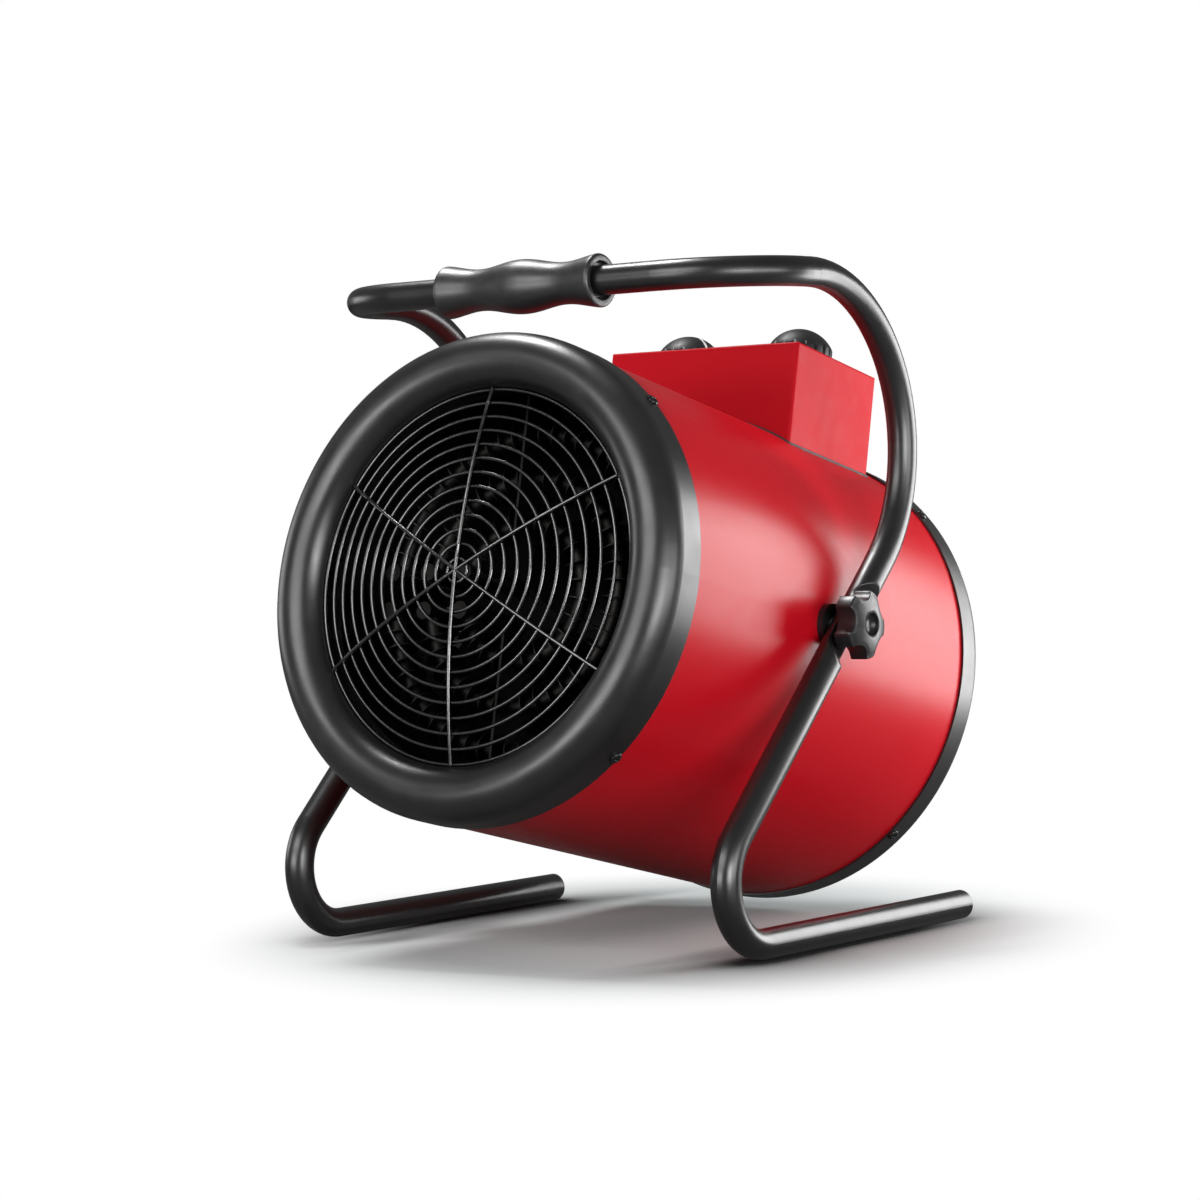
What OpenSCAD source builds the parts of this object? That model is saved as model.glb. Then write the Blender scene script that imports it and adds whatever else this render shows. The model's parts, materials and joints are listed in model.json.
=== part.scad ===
// Portable electric fan heater: a tilting drum on a bent-tube stand with a carrying grip.
// The front faces -Y, +X is to the right seen from the front, and the floor is at Z = 0.

/* [Drum] */
// Outer diameter of the drum casing
drum_d = 260; // [240:1:290]
// Thickness of the drum sheet
drum_t = 1; // [0.8:0.1:1.6]
// Distance from the pivot to the rear edge of the front bezel
bezel_reach = 126.3; // [118:0.1:136]
// Distance from the pivot to the rear face of the heater
rear_reach = 160.7; // [150:0.1:172]
// Upward tilt of the drum in degrees
tilt = 13; // [0:0.5:13.5]

/* [Front bezel] */
// Thickness of the bezel sheet
bezel_t = 1.2; // [0.8:0.1:2]
// Radius of the half-round front of the bezel
bezel_round = 15; // [12:0.5:18]
// Length of the straight skirt behind the half-round front
bezel_skirt = 15; // [12:0.5:20]
// Length of the flange that turns back inside the bezel
bezel_flange = 12; // [8:0.5:16]
// Length of drum that slides into the bezel and into the rear trim
lap = 12; // [9:0.5:14]

/* [Front grille] */
// Diameter of the grille wire
wire_d = 2; // [1.5:0.1:2.6]
// Number of concentric grille rings
ring_count = 13; // [8:1:14]
// Radius of the smallest grille ring
hub_ring_r = 6.3; // [5:0.1:9]
// Height of the grille's dome
dome_h = 14; // [8:0.5:18]
// Number of wires that cross the whole grille
cross_wires = 3; // [2:1:4]

/* [Rear] */
// Length of the rear trim ring along the drum
trim_len = 17.6; // [14:0.1:24]
// Radius of the rear trim's rounded edge
trim_round = 5; // [3:0.5:8]
// Width of the rear trim's flat flange
trim_flange = 14; // [10:0.5:20]
// Number of rings in the rear guard
guard_rings = 13; // [8:1:14]

/* [Stand] */
// Diameter of the stand tube
tube_d = 16; // [14:0.5:17]
// Wall of the stand tube
tube_t = 1.2; // [1:0.1:2]
// Gap between the drum and the stand tube
side_gap = 3.5; // [3:0.1:8]
// Gap between the rear rim and the floor at the steepest tilt
floor_gap = 3.2; // [2.5:0.1:15]
// Slope of the legs in degrees
leg_angle = 43; // [41:0.5:45]
// Bend radius between foot and leg
foot_bend = 32.5; // [26:0.5:36]
// Distance from the pivot to the rear end of the feet
foot_reach = 112; // [95:1:130]
// Distance from the pivot back to the rearmost part of the arms
arm_reach = 63; // [60:0.5:66]
// Height of the arms' highest point above the drum
arm_clear = 56.5; // [54:0.5:62]
// Bend radius at the top of the arms
arm_bend = 89; // [84:0.5:94]
// Downward slope of the arms towards the grip in degrees
arm_drop = 1; // [0:0.5:3]
// Distance from the pivot forward to the grip
grip_reach = 88.4; // [84:0.1:94]
// Bend radius where the arms turn into the crossbar
corner_bend = 54; // [46:0.5:58]
// Length of the flattened seat at each pivot
seat_len = 44; // [36:1:52]

/* [Grip] */
// Length of the hand grip
grip_len = 103; // [90:1:130]
// Largest radius of the grip
grip_r = 14.7; // [12.5:0.1:16]
// Depth of the two finger waists in the grip
grip_waist = 3.4; // [1:0.1:4]

/* [Control box] */
// Width of the control box
box_w = 129.4; // [120:0.2:140]
// Length of the control box along the drum
box_len = 85.2; // [78:0.2:90]
// Distance from the pivot back to the box's front wall
box_front = 43.7; // [38:0.1:50]
// Height of the control box above the drum
box_h = 42; // [38:0.5:48]
// Thickness of the box sheet
box_t = 1; // [0.8:0.1:1.6]
// Distance of each control knob from the box's middle
dial_x = 38.5; // [30:0.5:42]
// Diameter of the control knobs
dial_d = 37; // [30:0.5:42]
// Height of the control knobs
dial_h = 18.5; // [15:0.5:22]
// Bore of the cable gland
gland_bore = 9; // [7:0.5:10]

/* [Clamp knobs] */
// Overall diameter of a star knob
star_d = 37; // [32:0.5:44]
// Thickness of a star knob's head
star_h = 14.5; // [12:0.5:20]
// Number of lobes on a star knob
star_lobes = 5; // [4:1:7]
// Diameter of the clamp stud
stud_d = 8; // [6:0.5:10]

/* [Heating and fan] */
// Radius of the innermost heating ring
coil_r = 38; // [34:1:42]
// Radial distance between heating rings
coil_step = 24; // [22:0.5:25]
// Diameter of the heating tube
coil_d = 8.5; // [6.5:0.1:10]
// Diameter of the fins on the heating tube
fin_d = 19; // [15:0.5:20]
// Distance between neighbouring fins
fin_pitch = 9; // [7:0.5:14]
// Distance from the pivot forward to the heating rings
coil_reach = 98; // [90:1:104]
// Radius of the fan
fan_r = 103; // [90:1:108]
// Number of fan blades
blade_count = 5; // [3:1:6]
// Pitch of the fan blades in degrees
blade_pitch = 30; // [20:1:36]
// Radius of the motor
motor_r = 38; // [30:1:44]
// Length of the motor
motor_len = 60; // [50:1:66]

/* [Hidden] */
$fn = 96;

// Clearances
seat_gap = 0.05;
lap_gap = 0.2;
run_gap = 0.06;
slip_gap = 0.15;
small = 0.01;
bend_swell = 0.03;
joint_lap = 1;
fine = 360;

// Drum and bezel
drum_r = drum_d / 2;
tilt_max = 14;
drum_in = drum_r - drum_t;
drum_front = bezel_reach + lap;
drum_rear = rear_reach - trim_round - lap_gap;
bezel_r = drum_r + lap_gap + bezel_t;
round_r = bezel_r - bezel_round;
round_s = bezel_reach + bezel_skirt;
mouth_r = round_r - bezel_round;

// Front grille: a dome of rings on crossing wires
wire_r = wire_d / 2;
rim_r = mouth_r - lap_gap - wire_r;
rim_s = round_s + wire_d;
dome_r = (rim_r * rim_r + dome_h * dome_h) / (2 * dome_h);
dome_s = rim_s + dome_h - dome_r;
ring_step = (rim_r - hub_ring_r) / (ring_count - 1);
cross_angle = 30;
weld_sink = 0.25;

// Screws that hold the bezel, the trim and the box
screw_r = 1.9;
screw_head_r = 3.4;
screw_head_h = 2.2;
screw_dome = 5;
screw_len = 8;
screw_inset = 3.2;
screw_angles = [45, 135, 225, 315];

// Rear trim and guard
trim_t = bezel_t;
trim_r = drum_r + lap_gap + trim_t;
trim_front = rear_reach - trim_len;
guard_rim_r = trim_r - trim_flange + wire_r;
guard_hub_r = 10;
guard_hub_t = 1.5 * wire_d;
guard_step = (guard_rim_r - guard_hub_r) / (guard_rings - 1);
guard_y = rear_reach - trim_t - seat_gap - wire_r;

// Stand tube
pivot_h = floor_gap + (rear_reach - trim_round) * sin(tilt_max) + (trim_r - trim_round) * cos(tilt_max)
  + trim_round;
tube_r = tube_d / 2;
bore_r = tube_r - tube_t;
side_x = drum_r + side_gap + tube_r;
foot_z = tube_r - pivot_h;
foot_y = (foot_bend + cos(leg_angle) * (foot_z + foot_bend)) / sin(leg_angle);
arm_z = drum_r + arm_clear - arm_bend;
elbow_bend = (arm_z * cos(leg_angle) - arm_reach * sin(leg_angle)) / (1 - sin(leg_angle));
elbow_y = arm_reach - elbow_bend;
arm_y = arm_reach - arm_bend;
leg_low = [foot_y - foot_bend * sin(leg_angle), foot_z + foot_bend + foot_bend * cos(leg_angle)];
leg_high = [elbow_y + elbow_bend * sin(leg_angle), arm_z - elbow_bend * cos(leg_angle)];
arm_end = [arm_y - arm_bend * sin(arm_drop), arm_z + arm_bend * cos(arm_drop)];
top_run = (arm_end[0] + grip_reach) / cos(arm_drop);
bar_z = arm_end[1] - top_run * sin(arm_drop);
seat_x = side_x;
seat_ramp = 9;
plug_len = seat_len + 2 * seat_ramp;
cap_h = 2.6;
cap_plug = 14;
cap_dome = 14;

// Grip
grip_edge = 1.6;
wave_count = 1.84;
step_count = 48;
grip_bore = tube_r + seat_gap;
grip_mouth = grip_bore + 2.2;
grip_mouth_depth = 4;

// Clamp
stud_r = stud_d / 2;
spacer_r = 11.3;
nut_r = 9;
nut_h = 8;
washer_r = 13;
washer_h = 2.5;
star_r = star_d / 2;
star_dome = 2.4 * star_r;
star_scallop = 0.5 * star_r;
star_pitch = 1.22 * star_r;
star_recess_r = 6.2;
star_recess = 3.5;
star_roof = 6;
star_turn = 9;
neck_r = 9.5;
neck_h = 2.5;
star_x = seat_x + seat_gap + neck_h;
stud_in = drum_in - nut_h - 4;

// Control box
box_top = drum_r + box_h;
box_mid = box_front + box_len / 2;
box_depth = box_top - drum_r * 0.6;
gasket_t = 0.9;
gasket_lip = 1.1;
gasket_in = 4;
box_corner = 2;
box_edge = 1.6;
dial_r = dial_d / 2;
dial_gap = 0.6;
dial_skirt = 7;
dial_crown = dial_h - dial_skirt;
dial_dome = (dial_r * dial_r + dial_crown * dial_crown) / (2 * dial_crown);
flute_count = 18;
flute_r = 1.6;
pointer_w = 1.8;
pointer_depth = 0.8;
thermo_rest = -45;
switch_rest = 247.5;
nut_pocket = 1.1;
shaft_r = 3;
neck_bush_r = 4.9;
neck_bush_h = box_t + 3.4;
control_nut_r = 8;
control_nut_h = 2.4;
thermo_size = [36, 34, 20];
switch_size = [32, 32, 24];
shaft_depth = 14;
gland_x = 0;
gland_z = drum_r + 22;
gland_thread_r = 8;
gland_hex_r = 12;
gland_hex_h = 6;
gland_cap_h = 13;
gland_dome = 13;
gland_inner = 9;
gland_nut_h = 5;
terminal_size = [46, 18, 16];
terminal_drop = 12;
terminal_pitch = 10.6;
terminal_hole = 2.6;
bracket_t = 1.2;
bracket_w = 96;
bracket_foot = 22;
bracket_rise = 12;
box_screw_x = bracket_w / 2 - 9;
box_screw_z = drum_r + 12 - box_top;
wire_hole_r = 9;

// Heat shield and heating rings
shield_in = drum_in - 15;
shield_t = 0.8;
shield_rear = 24;
shield_front = bezel_reach - 3;
coil_tube_r = coil_d / 2;
fin_r = fin_d / 2;
fin_t = 0.7;
coil_gap_angle = 16;
coil_leg = 46;
coil_post = 0.6;
coil_radii = [for (i = [0:2]) coil_r + i * coil_step];
plate_t = 1.5;
plate_len = 30;
plate_foot = 18;
plate_foot_t = 1.2;
shield_foot = 14;
shield_foot_len = 24;
cutout_r = 7;
cutout_h = 8;
cutout_ear = 22;

// Fan and motor
shaft_fan_r = 4;
fan_s = -30;
hub_r = 24;
hub_h = 24;
hub_wall = 3;
boss_r = 9;
blade_t = 1.4;
blade_arc = 62;
blade_chord = 60;
blade_mid = 0.64 * fan_r;
blade_round = 0.37 * fan_r;
blade_root = 0.36 * fan_r;
fan_nut_r = 7.5;
fan_nut_h = 7;
fan_nut_s = fan_s + hub_h / 2;
motor_front = -56;
motor_boss_r = 13;
motor_boss_h = 5;
motor_rear = motor_front - motor_len;
motor_rim = 2;
motor_rim_h = 4;
motor_screw_r = motor_r - 10;
shaft_end = 10;
strap_w = 30;
strap_t = 2;
strap_foot = 24;

// World position of the pivot, with the heater's middle above the origin
front_y = -(round_s * cos(tilt) + round_r * sin(tilt) + bezel_round);
rear_y = (rear_reach - trim_round) * cos(tilt) + (trim_r - trim_round) * sin(tilt) + trim_round;
pivot_y = -(front_y + rear_y) / 2;

BLACK = [0.13, 0.13, 0.14];
RED = [0.75, 0.03, 0.08];
STEEL = [0.62, 0.63, 0.65];
DARK = [0.25, 0.25, 0.27];
RUBBER = [0.06, 0.06, 0.06];
CREAM = [0.87, 0.85, 0.8];

// Placement helpers
module at_pivot() translate([0, pivot_y, pivot_h]) children();
module on_drum() at_pivot() rotate([-tilt, 0, 0]) children();
module around_axis() on_drum() rotate([90, 0, 0]) children();
module radial(angle, s, r)
  around_axis() rotate(angle) translate([r, 0, s]) rotate([0, 90, 0]) children();
module both_sides() {
  children();
  mirror([1, 0, 0]) children();
}
module on_box() on_drum() translate([0, box_mid, box_top]) children();

// A hollow ring of revolution between two radii and two stations along the axis
module band(r0, r1, s0, s1) rotate_extrude() translate([r0, s0]) square([r1 - r0, s1 - s0]);

// A round wire ring
module wire_ring(r, s) translate([0, 0, s]) rotate_extrude() translate([r, 0]) circle(wire_r, $fn = 32);

module rounded_rect(w, l, r) {
  square([w - 2 * r, l], center = true);
  square([w, l - 2 * r], center = true);
  for (x = [-1, 1], y = [-1, 1])
    translate([x * (w / 2 - r), y * (l / 2 - r)]) circle(r, $fn = 48);
}

// A pan-head screw that points inwards, with its head above the seat plane
module pan_screw() {
  translate([0, 0, seat_gap]) intersection() {
    cylinder(r = screw_head_r, h = screw_head_h);
    translate([0, 0, screw_head_h - screw_dome]) sphere(screw_dome);
  }
  translate([0, 0, -screw_len]) cylinder(r = screw_r, h = screw_len + 1);
}
module screw_hole()
  translate([0, 0, -screw_len - 1]) cylinder(r = screw_r + slip_gap, h = 2 * screw_len);

// Bend of the stand tube in the side plane, between two angles
module side_bend(y, z, bend, a0, a1, r)
  translate([0, y, z]) rotate([90, 0, 90]) rotate(a0)
    rotate_extrude(angle = a1 - a0) translate([bend, 0]) circle(r, $fn = 64);

// Straight run of the stand tube in the side plane, reaching a little into the bends at its ends
module side_run(p, q, r, lap0, lap1) {
  d = q - p;
  translate([0, p[0], p[1]]) rotate([-atan2(d[0], d[1]), 0, 0])
    translate([0, 0, -lap0]) cylinder(r = r, h = norm(d) + lap0 + lap1, $fn = 64);
}

// One side of the stand, from the foot to the end of the crossbar; bends swell a trace over the runs
module side_tube(r) {
  bent = r + bend_swell;
  elbow_over = joint_lap / elbow_bend * 180 / PI;
  translate([side_x, 0, 0]) {
    side_run([foot_reach, foot_z], [foot_y, foot_z], r, 0, joint_lap);
    side_bend(foot_y, foot_z + foot_bend, foot_bend, 90 + leg_angle, 270, bent);
    side_run(leg_low, leg_high, r, joint_lap, joint_lap);
    side_bend(elbow_y, arm_z, elbow_bend, leg_angle - 90, elbow_over, bent);
    side_bend(arm_y, arm_z, arm_bend, 0, 90 + arm_drop, bent + bend_swell);
  }
  translate([0, arm_end[0], arm_end[1]]) rotate([arm_drop, 0, 0]) {
    translate([side_x, joint_lap, 0]) rotate([90, 0, 0])
      cylinder(r = r, h = top_run - corner_bend + 2 * joint_lap, $fn = 64);
    translate([side_x - corner_bend, corner_bend - top_run, 0]) rotate(-90)
      rotate_extrude(angle = 90) translate([corner_bend, 0]) circle(bent, $fn = 64);
  }
}
module crossbar(r) translate([0, -grip_reach, bar_z]) rotate([0, 90, 0])
  cylinder(r = r, h = 2 * (side_x - corner_bend + joint_lap), center = true, $fn = 64);

// Wedge that presses the tube flat on its outer side at the pivot
module seat_press() {
  wide = tube_d;
  rotate([leg_angle, 0, 0]) translate([seat_x, 0, -wide]) linear_extrude(2 * wide) polygon([
    [0, -seat_len / 2], [tube_r + 1, -seat_len / 2 - seat_ramp],
    [tube_r + 1, seat_len / 2 + seat_ramp], [0, seat_len / 2]]);
}
module stud_hole(x0, x1, gap)
  translate([x0, 0, 0]) rotate([0, 90, 0]) cylinder(r = stud_r + gap, h = x1 - x0);

// Stand
module stand_frame() color(BLACK) at_pivot() difference() {
  union() {
    both_sides() side_tube(tube_r);
    crossbar(tube_r);
  }
  difference() {
    union() {
      both_sides() side_tube(bore_r);
      crossbar(bore_r);
    }
    both_sides() translate([side_x, 0, 0]) rotate([leg_angle, 0, 0])
      cube([2 * tube_d, plug_len, 2 * tube_d], center = true);
  }
  both_sides() seat_press();
  both_sides() stud_hole(drum_r, side_x + tube_d, run_gap);
  both_sides() translate([side_x, foot_reach - small, foot_z]) rotate([-90, 0, 0])
    cylinder(r = bore_r, h = 1);
}

function grip_profile(u) = grip_r - grip_waist / 2 * (1 - cos(360 * wave_count * (u - 0.5)));
module grip_end() translate([0, 0, grip_len / 2 - grip_edge]) {
  rotate_extrude() translate([grip_profile(0) - grip_edge, 0]) intersection() {
    circle(grip_edge);
    square(grip_edge);
  }
  cylinder(r = grip_profile(0) - grip_edge, h = grip_edge);
}
module handle_grip() color(RUBBER)
  at_pivot() translate([0, -grip_reach, bar_z]) rotate([0, 90, 0]) {
    body_len = grip_len - 2 * grip_edge;
    body = [for (i = [0:step_count]) let (u = i / step_count) [grip_profile(u), (u - 0.5) * body_len]];
    difference() {
      union() {
        rotate_extrude() polygon(concat([[0, -body_len / 2]], body, [[0, body_len / 2]]));
        for (m = [0, 1]) mirror([0, 0, m]) grip_end();
      }
      cylinder(r = grip_bore, h = 2 * grip_len, center = true);
      for (m = [0, 1]) mirror([0, 0, m]) translate([0, 0, grip_len / 2 - grip_mouth_depth])
        cylinder(r = grip_mouth, h = 2 * grip_mouth_depth);
    }
  }

module foot_caps() color(RUBBER) at_pivot() both_sides()
  translate([side_x, foot_reach + seat_gap, foot_z]) rotate([-90, 0, 0]) {
    translate([0, 0, -cap_plug]) cylinder(r = bore_r - seat_gap, h = cap_plug + 1);
    intersection() {
      cylinder(r = tube_r, h = cap_h);
      translate([0, 0, cap_h - cap_dome]) sphere(cap_dome);
    }
  }

// Casing
module drum_casing() color(RED) difference() {
  around_axis() band(drum_in, drum_r, -drum_rear, drum_front);
  for (a = screw_angles) {
    radial(a, bezel_reach + screw_inset, bezel_r) screw_hole();
    radial(a, -trim_front - screw_inset, trim_r) screw_hole();
  }
  on_drum() both_sides() stud_hole(drum_in - 5, drum_r + 5, run_gap);
  radial(90, -box_mid, drum_in - 5) cylinder(r = wire_hole_r, h = 10);
}

module half_round(r) intersection() {
  circle(r);
  translate([-r, 0]) square([2 * r, r]);
}
module front_bezel() color(BLACK) difference() {
  around_axis() rotate_extrude() {
    translate([round_r, round_s]) difference() {
      half_round(bezel_round);
      circle(bezel_round - bezel_t);
    }
    translate([bezel_r - bezel_t, bezel_reach]) square([bezel_t, bezel_skirt]);
    translate([mouth_r, round_s - bezel_flange]) square([bezel_t, bezel_flange]);
  }
  for (a = screw_angles) radial(a, bezel_reach + screw_inset, bezel_r) screw_hole();
}

function dome_at(r) = dome_s + sqrt(dome_r * dome_r - r * r);
module front_grille() color(STEEL) around_axis() {
  for (i = [0:ring_count - 1]) let (r = hub_ring_r + i * ring_step) wire_ring(r, dome_at(r));
  lift = wire_d - weld_sink;
  half = asin(rim_r / dome_r);
  for (k = [0:cross_wires - 1]) rotate(cross_angle + k * 180 / cross_wires)
    translate([0, 0, dome_s]) rotate([90, 0, 0]) rotate(90 - half)
      rotate_extrude(angle = 2 * half) translate([dome_r + lift, 0]) circle(wire_r, $fn = 32);
}

module grille_clips() color(DARK) {
  clip_w = 10;
  clip_l = 7;
  for (a = [0, 90, 180, 270]) around_axis() rotate(a)
    translate([mouth_r - lap_gap - 2 * wire_r, -clip_w / 2, rim_s - wire_r - seat_gap - clip_l])
      intersection() {
        cube([2 * wire_r + lap_gap - seat_gap, clip_w, clip_l]);
        translate([-(mouth_r - lap_gap - 2 * wire_r), clip_w / 2, -1])
          cylinder(r = mouth_r - seat_gap, h = clip_l + 2, $fn = fine);
      }
}

module bezel_screws() color(BLACK)
  for (a = screw_angles) radial(a, bezel_reach + screw_inset, bezel_r) pan_screw();

// Rear
module rear_trim() color(BLACK) difference() {
  around_axis() mirror([0, 0, 1]) rotate_extrude() {
    edge = rear_reach - trim_round;
    translate([trim_r - trim_t, trim_front]) square([trim_t, edge - trim_front]);
    translate([trim_r - trim_round, edge]) difference() {
      intersection() {
        circle(trim_round);
        square(trim_round);
      }
      circle(trim_round - trim_t);
    }
    translate([trim_r - trim_flange, rear_reach - trim_t]) square([trim_flange - trim_round, trim_t]);
  }
  for (a = screw_angles) radial(a, -trim_front - screw_inset, trim_r) screw_hole();
}

module rear_guard() color(DARK) around_axis() {
  for (i = [1:guard_rings - 1]) wire_ring(guard_hub_r + i * guard_step, -guard_y);
  translate([0, 0, wire_d - weld_sink - guard_y]) {
    cylinder(r = guard_hub_r, h = guard_hub_t, center = true);
    for (k = [0:2 * cross_wires - 1]) rotate(k * 180 / cross_wires)
      translate([guard_hub_r - wire_d, 0, 0]) rotate([0, 90, 0])
        cylinder(r = wire_r, h = guard_rim_r - guard_hub_r + 2 * wire_d, $fn = 32);
  }
}

module rear_screws() color(BLACK)
  for (a = screw_angles) radial(a, -trim_front - screw_inset, trim_r) pan_screw();

// Heat shield and heating rings
module heat_shield() color(STEEL)
  around_axis() band(shield_in, shield_in + shield_t, shield_rear, shield_front);

module shield_brackets() color(STEEL) around_axis() for (a = screw_angles) rotate(a) {
  outer = drum_in - seat_gap;
  inner = shield_in + shield_t + seat_gap;
  translate([0, 0, (shield_rear + shield_front - shield_foot_len) / 2]) intersection() {
    difference() {
      cylinder(r = outer, h = shield_foot_len);
      translate([0, 0, -1]) cylinder(r = inner, h = shield_foot_len + 2);
    }
    union() {
      translate([inner - 1, -plate_t / 2, 0]) cube([outer - inner + 2, plate_t, shield_foot_len]);
      translate([inner - 1, 0, 0]) cube([1 + plate_t, shield_foot, shield_foot_len]);
      translate([outer - plate_t, -shield_foot, 0]) cube([plate_t + 1, shield_foot, shield_foot_len]);
    }
  }
}

module heating_elements() color(DARK) around_axis() for (r = coil_radii) {
  turn = coil_gap_angle * coil_r / r;
  translate([0, 0, coil_reach]) rotate(180 + turn)
    rotate_extrude(angle = 360 - 2 * turn) translate([r, 0]) circle(coil_tube_r, $fn = 48);
  for (m = [-1, 1]) rotate(180 + m * turn) translate([r, 0, coil_reach - coil_leg])
    cylinder(r = coil_tube_r + coil_post, h = coil_leg + coil_d, $fn = 48);
}

// Fins stand clear of the support plates and of the tube ends
function fin_angles(r) = [for (k = [0:floor(2 * PI * r / fin_pitch) - 1])
  let (a = 360 * (k + 0.5) / floor(2 * PI * r / fin_pitch),
    off_plate = r * abs(cos(a)), off_leg = r * PI / 180 * abs(a - 180))
  if (off_plate > plate_t + 2 && off_leg > coil_gap_angle * coil_r * PI / 180 + coil_d) a];
module element_fins() color(DARK) around_axis() translate([0, 0, coil_reach])
  for (r = coil_radii, a = fin_angles(r)) rotate(a) translate([r, 0, 0]) rotate([90, 0, 0])
    difference() {
      cylinder(r = fin_r, h = fin_t, center = true, $fn = 32);
      cylinder(r = coil_tube_r + seat_gap, h = 2, center = true, $fn = 32);
    }

module element_brackets() color(STEEL) around_axis() for (a = [90, 270]) rotate(a) {
  inner = coil_r - fin_r - 3;
  foot_r = sqrt(pow(shield_in - seat_gap, 2) - pow(plate_foot / 2, 2));
  difference() {
    translate([inner, -plate_t / 2, coil_reach - plate_len / 2])
      cube([foot_r - inner, plate_t, plate_len]);
    for (r = coil_radii) translate([r, 0, coil_reach]) rotate([90, 0, 0])
      cylinder(r = coil_tube_r + slip_gap, h = 2 * plate_t, center = true);
  }
  translate([foot_r - plate_foot_t, -plate_foot / 2, coil_reach - plate_len / 2])
    cube([plate_foot_t, plate_foot, plate_len]);
}

module overheat_cutout() color(BLACK)
  radial(70, (shield_rear + shield_front) / 2, shield_in + shield_t) difference() {
    union() {
      cylinder(r = cutout_r, h = cutout_h);
      translate([-cutout_ear / 2, -cutout_r / 2, 0]) cube([cutout_ear, cutout_r, cutout_h / 4]);
    }
    rotate([0, -90, 0]) translate([-shield_in - shield_t, 0, 0])
      cylinder(r = shield_in + shield_t + seat_gap, h = 2 * cutout_ear, center = true, $fn = fine);
  }

// Fan and motor
module fan_motor() color(STEEL) around_axis() difference() {
  union() {
    translate([0, 0, motor_rear]) cylinder(r = motor_r, h = motor_len);
    translate([0, 0, motor_front]) cylinder(r = motor_boss_r, h = motor_boss_h);
    for (s = [motor_rear, motor_front - motor_rim_h]) translate([0, 0, s])
      cylinder(r = motor_r + motor_rim, h = motor_rim_h);
  }
  translate([0, 0, motor_rear + shaft_end - 2])
    cylinder(r = shaft_fan_r + seat_gap, h = motor_len + motor_boss_h);
  for (a = [0, 180]) rotate(a) translate([motor_screw_r, 0, motor_rear - 1])
    cylinder(r = screw_r + seat_gap, h = screw_len + 1);
}

module motor_bracket() color(DARK) {
  back = -motor_rear + seat_gap;
  reach = sqrt(pow(drum_in - seat_gap, 2) - pow(strap_w / 2, 2));
  difference() {
    on_drum() {
      translate([-reach, back, -strap_w / 2]) cube([2 * reach, strap_t, strap_w]);
      both_sides() translate([reach - strap_t, back - strap_foot, -strap_w / 2])
        cube([strap_t, strap_foot + strap_t, strap_w]);
    }
    around_axis() for (a = [0, 180]) rotate(a)
      translate([motor_screw_r, 0, motor_rear - 10]) cylinder(r = screw_r + slip_gap, h = 20);
  }
}

module motor_screws() color(STEEL) around_axis() for (a = [0, 180]) rotate(a)
  translate([motor_screw_r, 0, motor_rear - strap_t - 2 * seat_gap]) {
    translate([0, 0, -screw_head_h]) cylinder(r = screw_head_r, h = screw_head_h);
    cylinder(r = screw_r, h = strap_t + screw_len - 1);
  }

// One pressed blade: an arched sheet along the radius, trimmed to a rounded outline
module blade() intersection() {
  rotate([90, 0, 0]) rotate([0, 90, 0]) rotate(blade_pitch) translate([0, -blade_arc, hub_r - hub_wall])
    linear_extrude(fan_r) intersection() {
      difference() {
        circle(blade_arc + blade_t);
        circle(blade_arc);
      }
      translate([-blade_chord / 2, 0]) square([blade_chord, 2 * blade_arc]);
    }
  translate([0, 0, -hub_h * 2]) linear_extrude(4 * hub_h) intersection() {
    circle(fan_r);
    union() {
      translate([blade_mid, 0]) circle(blade_round);
      translate([0, -blade_root / 2]) square([blade_mid, blade_root]);
    }
  }
}
module fan_blades() color(DARK) around_axis() translate([0, 0, fan_s]) difference() {
  union() {
    difference() {
      translate([0, 0, -hub_h / 2]) cylinder(r = hub_r, h = hub_h);
      translate([0, 0, -hub_h / 2 - 1]) cylinder(r = hub_r - hub_wall, h = hub_h + 1 - hub_wall);
    }
    translate([0, 0, -hub_h / 2 + 4]) cylinder(r = boss_r, h = hub_h - 4);
    for (i = [0:blade_count - 1]) rotate(i * 360 / blade_count) difference() {
      blade();
      translate([0, 0, -hub_h]) cylinder(r = hub_r - hub_wall / 2, h = 2 * hub_h);
    }
  }
  cylinder(r = shaft_fan_r + seat_gap / 2, h = 2 * hub_h, center = true);
}

module motor_shaft() color(STEEL) around_axis() translate([0, 0, motor_rear + shaft_end])
  cylinder(r = shaft_fan_r, h = fan_nut_s + fan_nut_h + 3 - motor_rear - shaft_end);

module fan_nut() color(STEEL) around_axis() translate([0, 0, fan_nut_s + seat_gap]) difference() {
  cylinder(r = fan_nut_r, h = fan_nut_h, $fn = 6);
  translate([0, 0, -1]) cylinder(r = shaft_fan_r + seat_gap / 2, h = fan_nut_h + 2);
}

// Control box
module box_outline(grow)
  rounded_rect(box_w + 2 * grow, box_len + 2 * grow, box_corner + max(grow, -box_corner / 2));
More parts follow.
